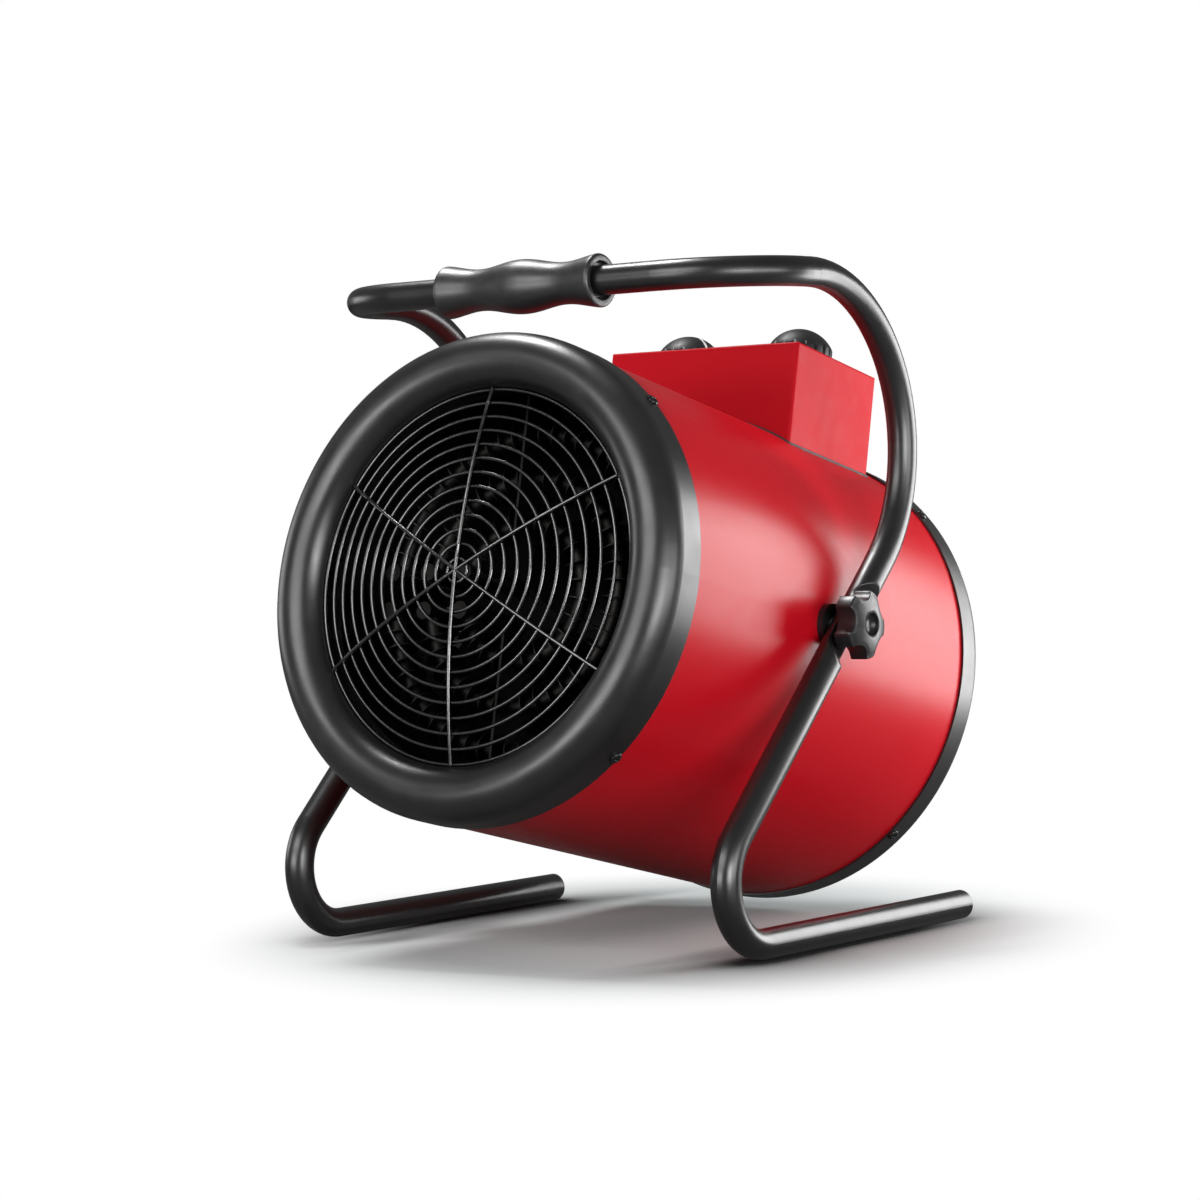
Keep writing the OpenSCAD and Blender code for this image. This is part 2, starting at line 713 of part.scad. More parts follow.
// The box's outer form, with the top edges rounded
module box_form() intersection() {
  translate([0, 0, -box_depth]) linear_extrude(box_depth) box_outline(0);
  rotate([90, 0, 0]) linear_extrude(2 * box_len, center = true) translate([0, -box_depth])
    rounded_rect(box_w, 2 * box_depth, box_edge);
  rotate([90, 0, 90]) linear_extrude(2 * box_w, center = true) translate([0, -box_depth])
    rounded_rect(box_len, 2 * box_depth, box_edge);
}
module drum_cut(r)
  on_drum() rotate([90, 0, 0]) cylinder(r = r, h = 4 * rear_reach, center = true, $fn = fine);
module at_box_screws()
  on_box() for (m = [-1, 1]) translate([m * box_screw_x, box_len / 2, box_screw_z]) rotate([-90, 0, 0])
    children();
module at_gland() on_box() translate([gland_x, box_len / 2, gland_z - box_top]) rotate([-90, 0, 0])
  children();
module control_box() color(RED) difference() {
  on_box() difference() {
    box_form();
    translate([0, 0, -box_depth - box_t]) linear_extrude(box_depth) box_outline(-box_t);
    for (m = [-1, 1]) translate([m * dial_x, 0, -5]) cylinder(r = neck_bush_r + slip_gap, h = 10);
  }
  at_gland() cylinder(r = gland_thread_r + slip_gap, h = 10, center = true);
  at_box_screws() screw_hole();
  drum_cut(drum_r + gasket_t);
}

module box_gasket() color(RUBBER) difference() {
  on_box() translate([0, 0, -box_depth]) linear_extrude(box_depth) difference() {
    box_outline(gasket_lip);
    box_outline(-gasket_in);
  }
  drum_cut(drum_r + seat_gap);
  difference() {
    drum_cut(2 * box_top);
    drum_cut(drum_r + gasket_t - seat_gap);
  }
}

// Angle bracket on the drum that takes the box's rear screws
module box_bracket() color(STEEL) difference() {
  wall = box_len / 2 - box_t - seat_gap;
  on_box() {
    translate([-bracket_w / 2, wall - bracket_t, -box_depth])
      cube([bracket_w, bracket_t, box_depth + box_screw_z + bracket_rise]);
    intersection() {
      translate([-bracket_w / 2, wall - bracket_foot, -box_depth])
        cube([bracket_w, bracket_foot, box_depth]);
      translate([0, 0, -box_top]) rotate([90, 0, 0])
        cylinder(r = drum_r + bracket_t + gasket_t, h = 3 * box_len, center = true, $fn = fine);
    }
  }
  drum_cut(drum_r + gasket_t);
  at_box_screws() screw_hole();
  at_gland() cylinder(r = gland_hex_r + 3, h = 16, center = true);
}

module box_screws() color(STEEL) at_box_screws() pan_screw();

// A control under the box top: a housing with a threaded neck and a shaft bore
module control_body(size) difference() {
  union() {
    translate([-size[0] / 2, -size[1] / 2, -box_t - seat_gap - size[2]]) cube(size);
    translate([0, 0, -box_t - seat_gap - 2]) cylinder(r = neck_bush_r, h = neck_bush_h + 2);
  }
  translate([0, 0, -box_t - shaft_depth]) cylinder(r = shaft_r + run_gap, h = 3 * shaft_depth);
}
module thermostat_body() color(CREAM) on_box() translate([dial_x, 0, 0]) control_body(thermo_size);
module rotary_switch() color(BLACK) on_box() translate([-dial_x, 0, 0]) control_body(switch_size);

module control_nuts() color(STEEL)
  on_box() for (m = [-1, 1]) translate([m * dial_x, 0, seat_gap]) difference() {
    cylinder(r = control_nut_r, h = control_nut_h, $fn = 6);
    translate([0, 0, -1]) cylinder(r = neck_bush_r + seat_gap, h = control_nut_h + 2);
  }

module terminal_block() color(CREAM) on_box()
  translate([-terminal_size[0] / 2, -box_len / 2 + box_t + seat_gap, -terminal_size[2] - terminal_drop])
    difference() {
      cube(terminal_size);
      for (i = [0:3]) translate([(i + 0.66) * terminal_pitch, terminal_size[1] / 2, 6])
        cylinder(r = terminal_hole, h = terminal_size[2]);
      for (i = [0:2]) translate([(i + 1.11) * terminal_pitch, 4, 5])
        cube([1, terminal_size[1], terminal_size[2]]);
    }

module cable_gland() color(BLACK) at_gland() difference() {
  union() {
    translate([0, 0, -gland_inner]) cylinder(r = gland_thread_r, h = gland_inner + 1);
    translate([0, 0, seat_gap]) cylinder(r = gland_hex_r, h = gland_hex_h, $fn = 6);
    translate([0, 0, gland_hex_h]) intersection() {
      cylinder(r = gland_hex_r - 1.5, h = gland_cap_h);
      translate([0, 0, gland_cap_h - gland_dome]) sphere(gland_dome);
    }
  }
  translate([0, 0, -2 * gland_inner]) cylinder(d = gland_bore, h = 60);
}

module gland_nut() color(BLACK) at_gland() translate([0, 0, -box_t - seat_gap - gland_nut_h])
  difference() {
    cylinder(r = gland_hex_r, h = gland_nut_h, $fn = 6);
    translate([0, 0, -1]) cylinder(r = gland_thread_r + seat_gap, h = gland_nut_h + 2);
  }

// Pivot clamp
module pivot_spacers() color(BLACK) difference() {
  on_drum() both_sides() difference() {
    translate([drum_r - 3, 0, 0]) rotate([0, 90, 0]) cylinder(r = spacer_r, h = side_gap + 3 - seat_gap);
    stud_hole(drum_r - 5, side_x, run_gap);
  }
  drum_cut(drum_r + seat_gap);
}

module pivot_nuts() color(STEEL) on_drum() both_sides() intersection() {
  difference() {
    union() {
      translate([drum_in - washer_h, 0, 0]) rotate([0, 90, 0]) cylinder(r = washer_r, h = washer_h);
      translate([drum_in - nut_h, 0, 0]) rotate([0, 90, 0]) cylinder(r = nut_r, h = nut_h, $fn = 6);
    }
    stud_hole(drum_in - nut_h - 5, drum_r, run_gap);
  }
  rotate([90, 0, 0]) cylinder(r = drum_in - seat_gap, h = drum_d, center = true, $fn = fine);
}

// Star knob along +X: scalloped head, domed face with a round recess, and a neck
module star_knob() difference() {
  union() {
    intersection() {
      translate([star_x, 0, 0]) rotate([0, 90, 0]) linear_extrude(star_h) difference() {
        circle(star_r);
        for (i = [0:star_lobes - 1]) rotate((i + 0.5) * 360 / star_lobes)
          translate([0, star_pitch]) circle(star_scallop, $fn = 48);
      }
      translate([star_x + star_h - star_dome, 0, 0]) sphere(star_dome);
    }
    translate([seat_x + seat_gap, 0, 0]) rotate([0, 90, 0]) cylinder(r = neck_r, h = neck_h + 1);
  }
  translate([star_x + star_h - star_recess, 0, 0]) rotate([0, 90, 0])
    cylinder(r = star_recess_r, h = star_h);
  stud_hole(seat_x - 1, star_x + star_h - star_roof, seat_gap / 2);
}
module clamp_stud() translate([stud_in, 0, 0]) rotate([0, 90, 0])
  cylinder(r = stud_r, h = star_x + star_h - star_roof - 0.5 - stud_in);

module star_knob_right() color(BLACK) at_pivot() rotate([star_turn - 90, 0, 0]) star_knob();
module star_knob_left() color(BLACK)
  at_pivot() mirror([1, 0, 0]) rotate([star_turn - 90, 0, 0]) star_knob();
module clamp_stud_right() color(STEEL) at_pivot() clamp_stud();
module clamp_stud_left() color(STEEL) at_pivot() mirror([1, 0, 0]) clamp_stud();

// Control knob: a fluted skirt under a domed crown with a pointer groove
module control_knob() difference() {
  intersection() {
    cylinder(r = dial_r, h = dial_h);
    translate([0, 0, dial_h - dial_dome]) sphere(dial_dome);
  }
  for (i = [0:flute_count - 1]) rotate((i + 0.5) * 360 / flute_count)
    translate([dial_r + flute_r / 2, 0, -1]) cylinder(r = flute_r, h = dial_h, $fn = 24);
  translate([-pointer_w / 2, dial_r * 0.25, dial_h - dial_crown]) difference() {
    cube([pointer_w, dial_r, dial_crown]);
    translate([pointer_w / 2, -dial_r * 0.25, dial_crown - dial_dome]) sphere(dial_dome - pointer_depth);
  }
  translate([0, 0, -1]) cylinder(r = control_nut_r + 2, h = control_nut_h + nut_pocket + 1);
  cylinder(r = shaft_r + seat_gap / 2, h = dial_h - 4);
}
module control_shaft()
  translate([0, 0, 1 - box_t - shaft_depth]) cylinder(r = shaft_r, h = shaft_depth + dial_h - 5);
module thermostat_knob() color(BLACK)
  on_box() translate([dial_x, 0, dial_gap]) rotate(thermo_rest) control_knob();
module switch_knob() color(BLACK)
  on_box() translate([-dial_x, 0, dial_gap]) rotate(switch_rest) control_knob();
module thermostat_shaft() color(STEEL) on_box() translate([dial_x, 0, 0]) control_shaft();
module switch_shaft() color(STEEL) on_box() translate([-dial_x, 0, 0]) control_shaft();

stand_frame();
handle_grip();
foot_caps();
drum_casing();
front_bezel();
front_grille();
grille_clips();
bezel_screws();
rear_trim();
rear_guard();
rear_screws();
heat_shield();
shield_brackets();
heating_elements();
element_fins();
element_brackets();
overheat_cutout();
fan_motor();
motor_bracket();
motor_screws();
control_box();
box_gasket();
box_bracket();
box_screws();
thermostat_body();
rotary_switch();
control_nuts();
terminal_block();
cable_gland();
gland_nut();
pivot_spacers();
pivot_nuts();
fan_blades();
motor_shaft();
fan_nut();
star_knob_left();
clamp_stud_left();
star_knob_right();
clamp_stud_right();
thermostat_knob();
thermostat_shaft();
switch_knob();
switch_shaft();
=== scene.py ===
# Looks of a portable drum fan heater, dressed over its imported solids. Lengths are in metres.
import json
import math

import bmesh
import bpy
from mathutils import Matrix, Vector


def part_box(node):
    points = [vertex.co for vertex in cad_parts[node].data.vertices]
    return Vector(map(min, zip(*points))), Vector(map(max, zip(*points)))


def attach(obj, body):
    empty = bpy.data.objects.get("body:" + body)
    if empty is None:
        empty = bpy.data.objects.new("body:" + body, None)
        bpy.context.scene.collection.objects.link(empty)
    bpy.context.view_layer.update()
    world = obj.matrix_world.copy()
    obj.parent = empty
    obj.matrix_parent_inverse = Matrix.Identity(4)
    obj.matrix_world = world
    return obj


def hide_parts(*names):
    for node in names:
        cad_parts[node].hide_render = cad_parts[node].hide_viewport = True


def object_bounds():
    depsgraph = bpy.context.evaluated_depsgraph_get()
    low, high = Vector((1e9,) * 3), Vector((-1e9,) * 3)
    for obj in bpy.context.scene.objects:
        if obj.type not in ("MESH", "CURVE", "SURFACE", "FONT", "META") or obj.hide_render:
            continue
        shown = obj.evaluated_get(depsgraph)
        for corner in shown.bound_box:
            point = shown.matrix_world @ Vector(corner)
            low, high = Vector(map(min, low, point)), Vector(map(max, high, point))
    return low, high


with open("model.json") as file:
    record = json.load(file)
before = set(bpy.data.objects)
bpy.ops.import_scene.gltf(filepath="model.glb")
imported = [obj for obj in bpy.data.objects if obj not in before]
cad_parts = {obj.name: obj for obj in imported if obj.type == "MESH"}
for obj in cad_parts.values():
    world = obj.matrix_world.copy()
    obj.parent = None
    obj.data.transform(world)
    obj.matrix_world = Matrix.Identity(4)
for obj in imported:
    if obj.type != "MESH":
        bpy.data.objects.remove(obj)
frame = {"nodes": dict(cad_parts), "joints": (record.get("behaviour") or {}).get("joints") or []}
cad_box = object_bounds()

MM = 0.001
TURN = 2 * math.pi
QUARTER = math.pi / 2

# The photograph's viewpoint
CAMERA_PLACE = Vector((1.1178, -1.5787, 0.2168))
CAMERA_YAW = math.radians(-35.83)
CAMERA_PITCH = math.radians(-0.97)
CAMERA_ROLL = math.radians(-1.70)
CAMERA_SIGHT = 50
SENSOR = 36.0
LENS = 104.25

# Colours, as linear values
BLACK_COAT = (0.009, 0.009, 0.0093, 1)
BLACK_COAT_WORN = (0.03, 0.03, 0.03, 1)
RED_ENAMEL = (0.52, 0.004, 0.012, 1)
RED_ENAMEL_DEEP = (0.47, 0.003, 0.010, 1)
# Near-black painted shade for the inside of the drum
DRUM_INSIDE_SHADE = (0.008, 0.008, 0.008, 1)
RUBBER_BLACK = (0.016, 0.016, 0.017, 1)
PLASTIC_BLACK = (0.012, 0.012, 0.013, 1)
CREAM = (0.66, 0.60, 0.50, 1)
MARK_WHITE = (0.80, 0.80, 0.78, 1)
MOTOR_GREY = (0.12, 0.12, 0.125, 1)
WIRE_GREY = (0.14, 0.14, 0.14, 1)
WIRE_DULL = (0.11, 0.11, 0.11, 1)
ZINC = (0.60, 0.60, 0.58, 1)
ZINC_DULL = (0.45, 0.45, 0.42, 1)
# Parts inside the drum: near-black tones as painted shade, two of each mottled at random
SHIELD_SHADE = (0.010, 0.009, 0.009, 1)
SHIELD_SHADE_DEEP = (0.006, 0.006, 0.005, 1)
ELEMENT_SHADE = (0.030, 0.029, 0.028, 1)
ELEMENT_SHADE_DEEP = (0.018, 0.017, 0.016, 1)
FAN_SHADE = (0.022, 0.022, 0.022, 1)
FAN_SHADE_DEEP = (0.016, 0.016, 0.016, 1)
STEEL_SHADE = (0.03, 0.03, 0.03, 1)
STEEL_SHADE_DEEP = (0.02, 0.019, 0.018, 1)
WHITE = (1, 1, 1, 1)
# Floor: pale as the camera sees it, a painted shade beside the feet, and grey for the light it
# passes on
FLOOR_WHITE = (0.555, 0.58, 0.58, 1)
FLOOR_PAINTED_SHADE = (0.03, 0.03, 0.03, 1)
FLOOR_GREY = (0.16, 0.16, 0.16, 1)

# The frame's nodes and joints, the pivot and the drum's own directions
joints = {joint["name"]: joint for joint in frame["joints"]}
nodes = frame["nodes"]
pivot = Vector(joints["tilt"]["pos_m"])
rightward = Vector((1, 0, 0))
rearward = Vector(joints["fan_spin"]["axis"]).normalized()
upward = Vector(joints["thermostat_turn"]["axis"]).normalized()


def axes_at(place, x_axis, y_axis, z_axis):
    """A placement whose axes are the three given directions."""
    turn = Matrix((x_axis, y_axis, z_axis)).transposed().to_4x4()
    return Matrix.Translation(place) @ turn


def reach(node, origin, axis):
    """How far a node's solid reaches from an axis."""
    offsets = [vertex.co - origin for vertex in nodes[node].data.vertices]
    return max((offset - axis * offset.dot(axis)).length for offset in offsets)


def along(node, origin, axis):
    """The lowest and highest place of a node along an axis."""
    places = [(vertex.co - origin).dot(axis) for vertex in nodes[node].data.vertices]
    return min(places), max(places)


class NodeTree:
    """A tree of shader nodes, with short calls for the nodes used here."""

    # Sockets of the Mix node when it mixes colours
    MIX_FIRST, MIX_SECOND, MIX_RESULT = 6, 7, 2

    def __init__(self, tree):
        self.tree = tree

    def add(self, kind, **settings):
        node = self.tree.nodes.new("ShaderNode" + kind)
        for setting, value in settings.items():
            setattr(node, setting, value)
        return node

    def feed(self, socket, value):
        """Gives a socket another node's output or a plain value."""
        if isinstance(value, bpy.types.NodeSocket):
            self.tree.links.new(value, socket)
        else:
            socket.default_value = value

    def spread(self, value, low, high, start=0.3, stop=0.7, shape="LINEAR"):
        """The value's stretch from start to stop, spread from low to high."""
        node = self.add("MapRange", interpolation_type=shape)
        feeds = {"Value": value, "From Min": start, "From Max": stop, "To Min": low, "To Max": high}
        for socket, number in feeds.items():
            self.feed(node.inputs[socket], number)
        return node.outputs["Result"]

    def tint(self, factor, first, second):
        """A colour between two, by a factor."""
        node = self.add("Mix", data_type="RGBA")
        self.feed(node.inputs["Factor"], factor)
        self.feed(node.inputs[self.MIX_FIRST], first)
        self.feed(node.inputs[self.MIX_SECOND], second)
        return node.outputs[self.MIX_RESULT]

    def calculate(self, operation, *values):
        node = self.add("Math", operation=operation)
        for socket, value in zip(node.inputs, values):
            self.feed(socket, value)
        return node.outputs["Value"]

    def combine(self, operation, *vectors):
        """A step of vector arithmetic; a length is a number, any other result a vector."""
        node = self.add("VectorMath", operation=operation)
        for socket, vector in zip(node.inputs, vectors):
            self.feed(socket, vector)
        return node.outputs["Value" if operation == "LENGTH" else "Vector"]

    def part_of(self, vector, axis):
        node = self.add("SeparateXYZ")
        self.feed(node.inputs["Vector"], vector)
        return node.outputs[axis]


class Finish(NodeTree):
    """The node tree of a material for a piece."""

    def __init__(self, name, **sockets):
        self.material = bpy.data.materials.new(name)
        self.material.use_nodes = True
        super().__init__(self.material.node_tree)
        self.surface = self.tree.nodes["Principled BSDF"]
        for socket, value in sockets.items():
            self.set(socket.replace("_", " "), value)
        self.place = self.add("TexCoord").outputs["Object"]

    def set(self, socket, value):
        self.feed(self.surface.inputs[socket], value)

    def noise(self, scale, detail=3.0, stretch=None):
        """Noise over the object, stretched by a factor along each axis."""
        node = self.add("TexNoise")
        node.inputs["Scale"].default_value = scale
        node.inputs["Detail"].default_value = detail
        place = self.place
        if stretch:
            mapping = self.add("Mapping")
            mapping.inputs["Scale"].default_value = stretch
            self.feed(mapping.inputs["Vector"], place)
            place = mapping.outputs["Vector"]
        self.feed(node.inputs["Vector"], place)
        return node.outputs["Fac"]

    def height(self):
        """Height above the object's origin."""
        return self.part_of(self.place, "Z")

    def off_axis(self, origin, axis):
        """Distance from a line through the origin along the axis."""
        offset = self.combine("SUBTRACT", self.place, origin)
        return self.combine("LENGTH", self.combine("CROSS_PRODUCT", offset, axis))

    def bump(self, value, depth, strength):
        node = self.add("Bump")
        node.inputs["Distance"].default_value = depth
        node.inputs["Strength"].default_value = strength
        self.feed(node.inputs["Height"], value)
        self.set("Normal", node.outputs["Normal"])


# Heights above the floor between which the coat's rubbing fades, and depths below the drum's
# outside between which the near-black painted shade of its inside gives way to enamel
RUBBED_HEIGHTS = (0.5 * MM, 4 * MM)
ENAMEL_DEPTHS = (0.6 * MM, 0.4 * MM)


def black_coat(name, low, high, grain):
    """Powder coat: fine grain, uneven sheen and a trace of rubbing near the floor."""
    coat = Finish(name, Specular_IOR_Level=0.8)
    rubbed = coat.spread(coat.height(), 1, 0, *RUBBED_HEIGHTS)
    coat.set("Base Color", coat.tint(rubbed, BLACK_COAT, BLACK_COAT_WORN))
    coat.set("Roughness", coat.spread(coat.noise(60), low, high))
    coat.bump(coat.noise(1100, 2), 0.1 * MM, grain)
    return coat.material


def red_enamel(name, gloss, low, high):
    """Stoved enamel: faint orange peel and soft gloss outside, with a near-black painted shade
    inside the drum.
    """
    enamel = Finish(name)
    drum_edge = reach("drum_casing", pivot, rearward)
    skin = [drum_edge - depth for depth in ENAMEL_DEPTHS]
    radius = enamel.off_axis(pivot, rearward)
    enamel.set("Specular IOR Level", enamel.spread(radius, 0, gloss, *skin))
    outside = enamel.tint(enamel.noise(9), RED_ENAMEL_DEEP, RED_ENAMEL)
    # Inside the drum the colour is a painted shade instead of enamel
    enamel.set("Base Color", enamel.tint(enamel.spread(radius, 0, 1, *skin), DRUM_INSIDE_SHADE, outside))
    enamel.set("Roughness", enamel.spread(enamel.noise(130), low, high))
    enamel.bump(enamel.noise(180, 0), 0.05 * MM, 0.1)
    return enamel.material


def soft_rubber(name, low, high):
    rubber = Finish(name, Specular_IOR_Level=0.9)
    rubber.set("Base Color", rubber.tint(rubber.noise(40), RUBBER_BLACK, PLASTIC_BLACK))
    rubber.set("Roughness", rubber.spread(rubber.noise(220), low, high))
    rubber.bump(rubber.noise(2600, 2), 0.06 * MM, 0.25)
    return rubber.material


def moulded_plastic(name, colour, low, high):
    plastic = Finish(name, Base_Color=colour, Specular_IOR_Level=0.4)
    plastic.set("Roughness", plastic.spread(plastic.noise(300), low, high))
    plastic.bump(plastic.noise(2200, 1), 0.04 * MM, 0.2)
    return plastic.material


def bare_metal(name, colour, dull, low, high, stretch=None, grain=0.2):
    """Metal whose tone and polish vary over the surface."""
    metal = Finish(name, Metallic=1.0)
    worn = metal.spread(metal.noise(90, 4, stretch), 0, 1)
    metal.set("Base Color", metal.tint(worn, dull, colour))
    metal.set("Roughness", metal.spread(metal.noise(400, 3, stretch), low, high))
    metal.bump(metal.noise(1500, 2, stretch), 0.03 * MM, grain)
    return metal.material


# Each finish with its least and greatest roughness
TUBE_COAT = black_coat("tube_coat", 0.28, 0.34, grain=0.12)
RING_COAT = black_coat("ring_coat", 0.3, 0.38, grain=0.3)
DRUM_ENAMEL = red_enamel("drum_enamel", 0.22, 0.29, 0.34)
BOX_ENAMEL = red_enamel("box_enamel", 0.08, 0.4, 0.48)
GRIP = soft_rubber("grip_rubber", 0.36, 0.44)
GASKET = soft_rubber("gasket_rubber", 0.6, 0.75)
PLASTIC = moulded_plastic("knob_plastic", PLASTIC_BLACK, 0.28, 0.4)
DIAL_PLASTIC = moulded_plastic("dial_plastic", PLASTIC_BLACK, 0.44, 0.54)
CREAM_PLASTIC = moulded_plastic("cream_plastic", CREAM, 0.4, 0.55)
PAINT = moulded_plastic("mark_paint", MARK_WHITE, 0.4, 0.55)
SCREW_BLACK = moulded_plastic("screw_black", PLASTIC_BLACK, 0.16, 0.26)
MOTOR = moulded_plastic("motor_enamel", MOTOR_GREY, 0.35, 0.5)
WIRE = bare_metal("plated_wire", WIRE_GREY, WIRE_DULL, 0.21, 0.26, grain=0.04)
ZINC_PLATE = bare_metal("zinc_plate", ZINC, ZINC_DULL, 0.3, 0.45)
# Near-black painted shade for the heat shield, elements, fan and small steel parts
SHIELD = bare_metal("shaded_shield_sheet", SHIELD_SHADE, SHIELD_SHADE_DEEP, 0.5, 0.65, (1, 0.1, 1))
ELEMENT = bare_metal("element_steel", ELEMENT_SHADE, ELEMENT_SHADE_DEEP, 0.4, 0.55)
FAN = bare_metal("fan_sheet", FAN_SHADE, FAN_SHADE_DEEP, 0.45, 0.55)
SHADED_STEEL = bare_metal("shaded_steel", STEEL_SHADE, STEEL_SHADE_DEEP, 0.35, 0.5)

FINISHES = {
    TUBE_COAT: ["stand_frame"],
    RING_COAT: ["front_bezel", "rear_trim", "rear_guard"],
    DRUM_ENAMEL: ["drum_casing"],
    BOX_ENAMEL: ["control_box"],
    GRIP: ["handle_grip", "foot_caps"],
    GASKET: ["box_gasket"],
    PLASTIC: [
        "star_knob_left", "star_knob_right", "cable_gland", "gland_nut",
        "pivot_spacers", "rotary_switch", "overheat_cutout",
    ],
    DIAL_PLASTIC: ["thermostat_knob", "switch_knob"],
    SCREW_BLACK: ["bezel_screws", "rear_screws"],
    CREAM_PLASTIC: ["thermostat_body", "terminal_block"],
    MOTOR: ["fan_motor"],
    WIRE: ["front_grille"],
    ZINC_PLATE: [
        "box_bracket", "box_screws", "control_nuts", "clamp_stud_left", "clamp_stud_right",
        "thermostat_shaft", "switch_shaft",
    ],
    SHADED_STEEL: [
        "grille_clips", "shield_brackets", "motor_bracket", "motor_screws", "motor_shaft",
        "fan_nut", "pivot_nuts",
    ],
    SHIELD: ["heat_shield"],
    ELEMENT: ["heating_elements", "element_fins", "element_brackets"],
    FAN: ["fan_blades"],
}


def dress(node, material):
    """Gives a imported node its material."""
    mesh = nodes[node].data
    mesh.materials.clear()
    mesh.materials.append(material)


for finish, members in FINISHES.items():
    for member in members:
        dress(member, finish)


def finished_mesh(name, vertices, faces, material, smooth):
    """A mesh with its faces turned outward."""
    mesh = bpy.data.meshes.new(name)
    mesh.from_pydata(vertices, [], faces)
    mesh.validate()
    shape = bmesh.new()
    shape.from_mesh(mesh)
    bmesh.ops.recalc_face_normals(shape, faces=shape.faces)
    shape.to_mesh(mesh)
    shape.free()
    mesh.polygons.foreach_set("use_smooth", [smooth] * len(mesh.polygons))
    mesh.materials.append(material)
    return mesh


def loft(name, rings, place, material):
    """A mesh that joins rings of points; a ring of one point closes an end."""
    vertices, starts, faces = [], [], []
    for ring in rings:
        starts.append(len(vertices))
        vertices.extend(place @ Vector(point) for point in ring)
    placed = list(zip(starts, rings))
    for (first, ring), (second, following) in zip(placed, placed[1:]):
        count = max(len(ring), len(following))
        for i in range(count):
            j = (i + 1) % count
            corners = [first + i % len(ring), first + j % len(ring)]
            corners += [second + j % len(following), second + i % len(following)]
            faces.append(list(dict.fromkeys(corners)))
    return finished_mesh(name, vertices, faces, material, True)


def add_piece(name, mesh, body, slot, *stands_for):
    """Puts a mesh in the scene on a body, in place of the nodes it stands for."""
    piece = bpy.data.objects.new(name, mesh)
    bpy.context.scene.collection.objects.link(piece)
    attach(piece, body)
    if stands_for:
        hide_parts(*stands_for)
    return piece


def polar(radius, angle, height):
    return (radius * math.cos(angle), radius * math.sin(angle), height)


def circle(radius, height, count):
    return [polar(radius, TURN * i / count, height) for i in range(count)]


def wavy(radii, height_at):
    """A ring with a radius for each of its points, at the height that goes with that radius."""
    count = len(radii)
    return [polar(r, TURN * i / count, height_at(r)) for i, r in enumerate(radii)]


def arc_steps(count):
    """Pairs of sine and cosine over a quarter turn."""
    angles = [QUARTER * i / count for i in range(count + 1)]
    return [(math.sin(angle), math.cos(angle)) for angle in angles]


# Hand grip: a waisted rubber sleeve with rounded ends and a mouth round the tube
GRIP_WAIST = 3.4 * MM
GRIP_WAVES = 1.84
GRIP_EDGE = 1.6 * MM
GRIP_LIP = 0.6 * MM
GRIP_MOUTH = 10.3 * MM
GRIP_MOUTH_DEPTH = 3.8 * MM
GRIP_BORE = 8.05 * MM
GRIP_SIDES = 96
GRIP_ROWS = 120


def add_grip():
    low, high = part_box("handle_grip")
    middle = (low + high) / 2
    half = (high.x - low.x) / 2
    widest = (high.z - low.z) / 2

    def profile(x):
        phase = TURN * GRIP_WAVES * x / (2 * half)
        return widest - GRIP_WAIST / 2 * (1 - math.cos(phase))

    end = half - GRIP_EDGE
    steps = [end * (2 * i / GRIP_ROWS - 1) for i in range(GRIP_ROWS + 1)]
    rows = [(profile(x), x) for x in steps]
    rim = [(profile(end) - GRIP_EDGE * (1 - c), end + GRIP_EDGE * s) for s, c in arc_steps(6)]
    mouth = [
        (GRIP_MOUTH + GRIP_LIP * (1 - s), half - GRIP_LIP * (1 - c)) for s, c in arc_steps(4)
    ]
    mouth.append((GRIP_MOUTH, half - GRIP_MOUTH_DEPTH))
    mouth.append((GRIP_BORE, half - GRIP_MOUTH_DEPTH))
    right_end = rim[1:] + mouth
    left_end = [(radius, -x) for radius, x in reversed(right_end)]
    rings = [circle(radius, x, GRIP_SIDES) for radius, x in left_end + rows + right_end]
    place = axes_at(middle, Vector((0, 1, 0)), Vector((0, 0, 1)), rightward)
    sleeve = loft("grip_sleeve", rings, place, GRIP)
    add_piece("grip_sleeve", sleeve, "stand", "grip_rubber", "handle_grip")


# Pressed seats: how the tube swells from flat to round on either side of each clamp knob
LEG_ANGLE = math.radians(43)
TUBE_R = 8.02 * MM
SEAT_GAP = 0.05 * MM
SWELL_SPAN = (17 * MM, 30.2 * MM)
SWELL_SUNK = 0.5 * MM
SWELL_EASE = 1.2 * MM
SWELL_EASE_LEAST = 1e-9
SWELL_SHARES = [i / 24 for i in range(24)] + [0.996, 1]
SWELL_STEPS = 40
SWELL_END_SHRINK = 0.94
SWELL_END_STEP = 0.05 * MM


def swell_ring(share):
    """The outline across a swell, part of the way from flat to round, with its foot in the tube."""
    first, last = SWELL_SPAN
    place = first + (last - first) * share
    height = TUBE_R * share ** 2 * (3 - 2 * share)
    ease = SWELL_EASE * (1 - share) + SWELL_EASE_LEAST
    foot = TUBE_R - SWELL_SUNK
    ring = [(foot, place, -SWELL_SUNK), (-foot, place, -SWELL_SUNK)]
    for i in range(SWELL_STEPS + 1):
        angle = math.pi * (i / SWELL_STEPS - 0.5)
        full = TUBE_R * math.cos(angle)
        overlap = max(0, ease - abs(full - height)) / ease
        eased = min(full, height) - overlap ** 2 * ease / 4
        ring.append((TUBE_R * math.sin(angle), place, eased))
    return ring


